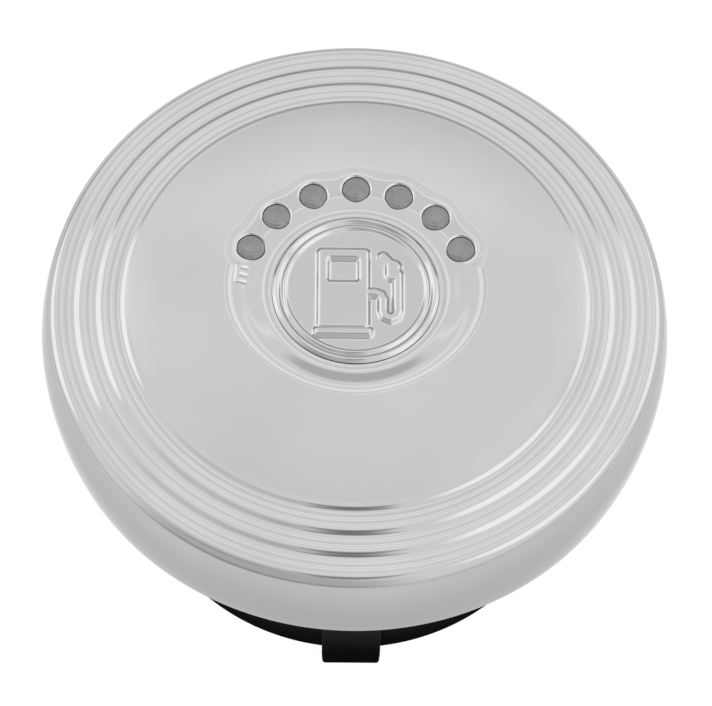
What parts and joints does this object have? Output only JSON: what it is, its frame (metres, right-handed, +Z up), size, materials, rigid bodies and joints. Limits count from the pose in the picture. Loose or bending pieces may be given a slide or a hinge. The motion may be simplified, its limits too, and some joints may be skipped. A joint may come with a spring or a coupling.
{
  "type": "led fuel gauge cap",
  "caption": "Round chromed cap-style fuel gauge: stepped rings, small domed lenses in an arc over a round medallion, black lower housing with locating tabs under a skirt.",
  "frame": {"origin": "centre of the bounding box at the lowest face of the locating tabs, on the gauge's own axis in X", "axes": "+Z up along the gauge's axis out of the face, +X to the rider's right, +Y from the medallion to the arc of lenses; the letter E and the first lens lie towards -X"},
  "size_m": [0.0908, 0.0908, 0.0553],
  "materials": {
    "chrome_cap": "polished, face finely turned",
    "chrome_medallion": "polished relief",
    "lens": "smoky, clear, glossy",
    "holder": "moulded",
    "board": "solder resist",
    "chip": "moulded",
    "capacitor": "sleeved",
    "terminal": "moulded",
    "steel": "plated",
    "housing": "fine moulded grain",
    "rubber": "matt"
  },
  "bodies": {
    "root": {"cap_shell": "chrome_cap", "medallion": "chrome_medallion", "led_1": "lens", "led_2": "lens", "led_3": "lens", "led_4": "lens", "led_5": "lens", "led_6": "lens", "led_7": "lens", "led_holder": "holder", "circuit_board": "board", "controller_chip": "chip", "voltage_regulator": "chip", "capacitor_1": "capacitor", "capacitor_2": "capacitor", "wire_terminal": "terminal", "resistor_1": "chip", "resistor_2": "chip", "resistor_3": "chip", "resistor_4": "chip", "resistor_5": "chip", "resistor_6": "chip", "resistor_7": "chip", "board_screw_1": "steel", "board_screw_2": "steel", "board_screw_3": "steel", "gauge_housing": "housing", "housing_screw_1": "steel", "housing_screw_2": "steel", "housing_screw_3": "steel", "base_cover": "housing", "cover_screw_1": "steel", "cover_screw_2": "steel", "cover_screw_3": "steel", "wire_grommet": "rubber", "seat_gasket": "rubber"}
  },
  "joints": []
}
